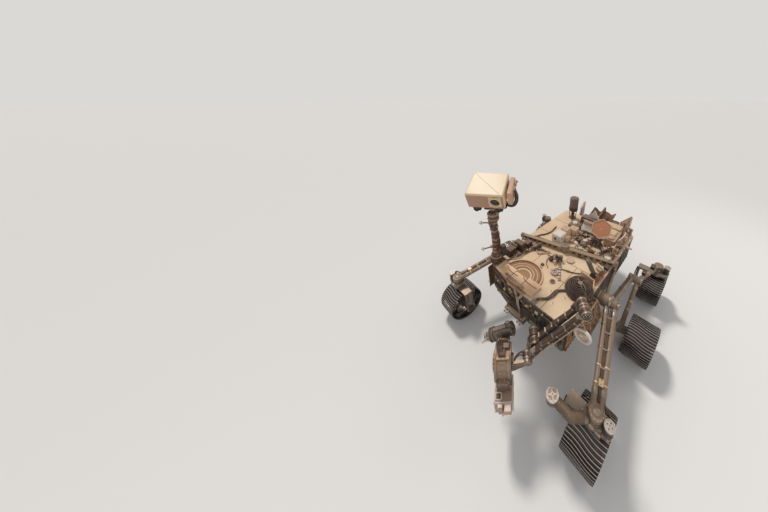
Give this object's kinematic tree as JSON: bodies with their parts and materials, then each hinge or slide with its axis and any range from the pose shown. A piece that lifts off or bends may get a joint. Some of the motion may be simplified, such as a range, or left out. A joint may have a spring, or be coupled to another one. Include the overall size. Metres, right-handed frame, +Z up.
{
  "type": "mars rover",
  "caption": "Six-wheeled planetary rover with rocker-bogie suspension, camera mast, dish antenna, finned power source and a folded robotic arm.",
  "frame": {"origin": "on the ground under the middle of the overall box", "axes": "+X forward, +Y to port, +Z up"},
  "size_m": [3.2517, 2.71, 2.3163],
  "materials": {
    "bare_metal": "machined, dusty",
    "tread": "black anodised, lug edges worn bright",
    "tube": "grey-tan paint under dust",
    "actuator": "grey machined case",
    "body_paint": "white paint under tan dust",
    "deck_paint": "cream paint under orange dust",
    "ivory_paint": "ivory paint",
    "dark_metal": "dark grey coating",
    "antenna_face": "terracotta face",
    "antenna_can": "dark grey paint",
    "power_dark": "dark coating",
    "white_paint": "white paint",
    "bronze": "bronze-coloured crinkled wrap",
    "black_plastic": "black ribbed"
  },
  "bodies": {
    "root": {"chassis": "body_paint", "deck": "deck_paint", "rocker_left": "tube", "rocker_right": "tube", "bogie_left": "tube", "bogie_right": "tube", "differential_bar": "tube", "steering_actuators": "actuator", "mast": "dark_metal", "hga_post": "actuator", "uhf_antenna": "antenna_can", "power_source": "power_dark", "power_cage": "ivory_paint", "shoulder_base": "actuator", "bay_gear": "bronze", "front_cameras": "dark_metal", "bit_carousel": "bronze", "carousel_ring": "white_paint", "deck_tray": "deck_paint", "cover_panels": "deck_paint", "deck_boxes": "ivory_paint", "calibration_targets": "white_paint", "cable_dome": "black_plastic", "wind_post": "dark_metal"},
    "wheel_fl": {"tyre_fl": "tread", "hub_fl": "bare_metal"},
    "steer_fl": {"knuckle_fl": "bare_metal"},
    "wheel_fr": {"tyre_fr": "tread", "hub_fr": "bare_metal"},
    "steer_fr": {"knuckle_fr": "bare_metal"},
    "wheel_ml": {"tyre_ml": "tread", "hub_ml": "bare_metal"},
    "wheel_mr": {"tyre_mr": "tread", "hub_mr": "bare_metal"},
    "wheel_rl": {"tyre_rl": "tread", "hub_rl": "bare_metal"},
    "steer_rl": {"knuckle_rl": "bare_metal"},
    "wheel_rr": {"tyre_rr": "tread", "hub_rr": "bare_metal"},
    "steer_rr": {"knuckle_rr": "bare_metal"},
    "mast_turn": {"mast_yoke": "dark_metal"},
    "head": {"mast_head": "ivory_paint", "camera_bar": "dark_metal", "head_side_panel": "deck_paint"},
    "hga_turn": {"hga_fork": "actuator"},
    "hga_tilt": {"hga_dish": "antenna_face"},
    "arm_turn": {"shoulder_drive": "actuator"},
    "arm_upper": {"upper_arm": "dark_metal"},
    "arm_fore": {"forearm": "dark_metal"},
    "arm_wrist": {"wrist": "actuator"},
    "turret": {"turret_body": "actuator", "coring_drill": "actuator", "instrument_box": "actuator"}
  },
  "joints": [
    {"name": "steering_fl", "type": "hinge", "parent": "root", "child": "steer_fl", "pos_m": [1.08, 1.08, 0.583], "axis": [0, 0, 1], "range_deg": [-95, 95]},
    {"name": "wheel_fl_spin", "type": "hinge", "parent": "steer_fl", "child": "wheel_fl", "pos_m": [1.08, 1.08, 0.2625], "axis": [0, 1, 0], "continuous": true},
    {"name": "steering_fr", "type": "hinge", "parent": "root", "child": "steer_fr", "pos_m": [1.08, -1.08, 0.583], "axis": [0, 0, 1], "range_deg": [-95, 95]},
    {"name": "wheel_fr_spin", "type": "hinge", "parent": "steer_fr", "child": "wheel_fr", "pos_m": [1.08, -1.08, 0.2625], "axis": [0, 1, 0], "continuous": true},
    {"name": "wheel_ml_spin", "type": "hinge", "parent": "root", "child": "wheel_ml", "pos_m": [-0.12, 1.19, 0.2625], "axis": [0, 1, 0], "continuous": true},
    {"name": "wheel_mr_spin", "type": "hinge", "parent": "root", "child": "wheel_mr", "pos_m": [-0.12, -1.19, 0.2625], "axis": [0, 1, 0], "continuous": true},
    {"name": "steering_rl", "type": "hinge", "parent": "root", "child": "steer_rl", "pos_m": [-1.17, 1.08, 0.583], "axis": [0, 0, 1], "range_deg": [-95, 95]},
    {"name": "wheel_rl_spin", "type": "hinge", "parent": "steer_rl", "child": "wheel_rl", "pos_m": [-1.17, 1.08, 0.2625], "axis": [0, 1, 0], "continuous": true},
    {"name": "steering_rr", "type": "hinge", "parent": "root", "child": "steer_rr", "pos_m": [-1.17, -1.08, 0.583], "axis": [0, 0, 1], "range_deg": [-95, 95]},
    {"name": "wheel_rr_spin", "type": "hinge", "parent": "steer_rr", "child": "wheel_rr", "pos_m": [-1.17, -1.08, 0.2625], "axis": [0, 1, 0], "continuous": true},
    {"name": "mast_azimuth", "type": "hinge", "parent": "root", "child": "mast_turn", "pos_m": [0.7, -0.59, 1.845], "axis": [0, 0, 1], "range_deg": [-215, 145]},
    {"name": "head_elevation", "type": "hinge", "parent": "mast_turn", "child": "head", "pos_m": [0.7, -0.59, 1.99], "axis": [-0.5736, 0.8192, 0], "range_deg": [-105, 65]},
    {"name": "hga_azimuth", "type": "hinge", "parent": "root", "child": "hga_turn", "pos_m": [-0.5, 0.31, 1.23], "axis": [0, 0, 1], "range_deg": [-170, 170]},
    {"name": "hga_elevation", "type": "hinge", "parent": "hga_turn", "child": "hga_tilt", "pos_m": [-0.5, 0.31, 1.4], "axis": [-0.2588, 0.9659, 0], "range_deg": [-50, 40]},
    {"name": "arm_azimuth", "type": "hinge", "parent": "root", "child": "arm_turn", "pos_m": [1.045, 0.365, 0.79], "axis": [0, 0, 1], "range_deg": [-15, 45]},
    {"name": "arm_shoulder", "type": "hinge", "parent": "arm_turn", "child": "arm_upper", "pos_m": [1.045, 0.365, 0.95], "axis": [0.7071, 0.7071, 0], "range_deg": [-10, 40]},
    {"name": "arm_elbow", "type": "hinge", "parent": "arm_upper", "child": "arm_fore", "pos_m": [0.76216, 0.64784, 1.48], "axis": [-0.7071, -0.7071, 0], "range_deg": [-5, 75]},
    {"name": "arm_wrist", "type": "hinge", "parent": "arm_fore", "child": "arm_wrist", "pos_m": [1.10086, 0.30914, 0.86], "axis": [0.7071, 0.7071, 0], "range_deg": [-45, 30]},
    {"name": "turret_roll", "type": "hinge", "parent": "arm_wrist", "child": "turret", "pos_m": [1.36977, 0.25278, 0.8], "axis": [0.7071, -0.7071, 0], "range_deg": [-170, 170]}
  ]
}
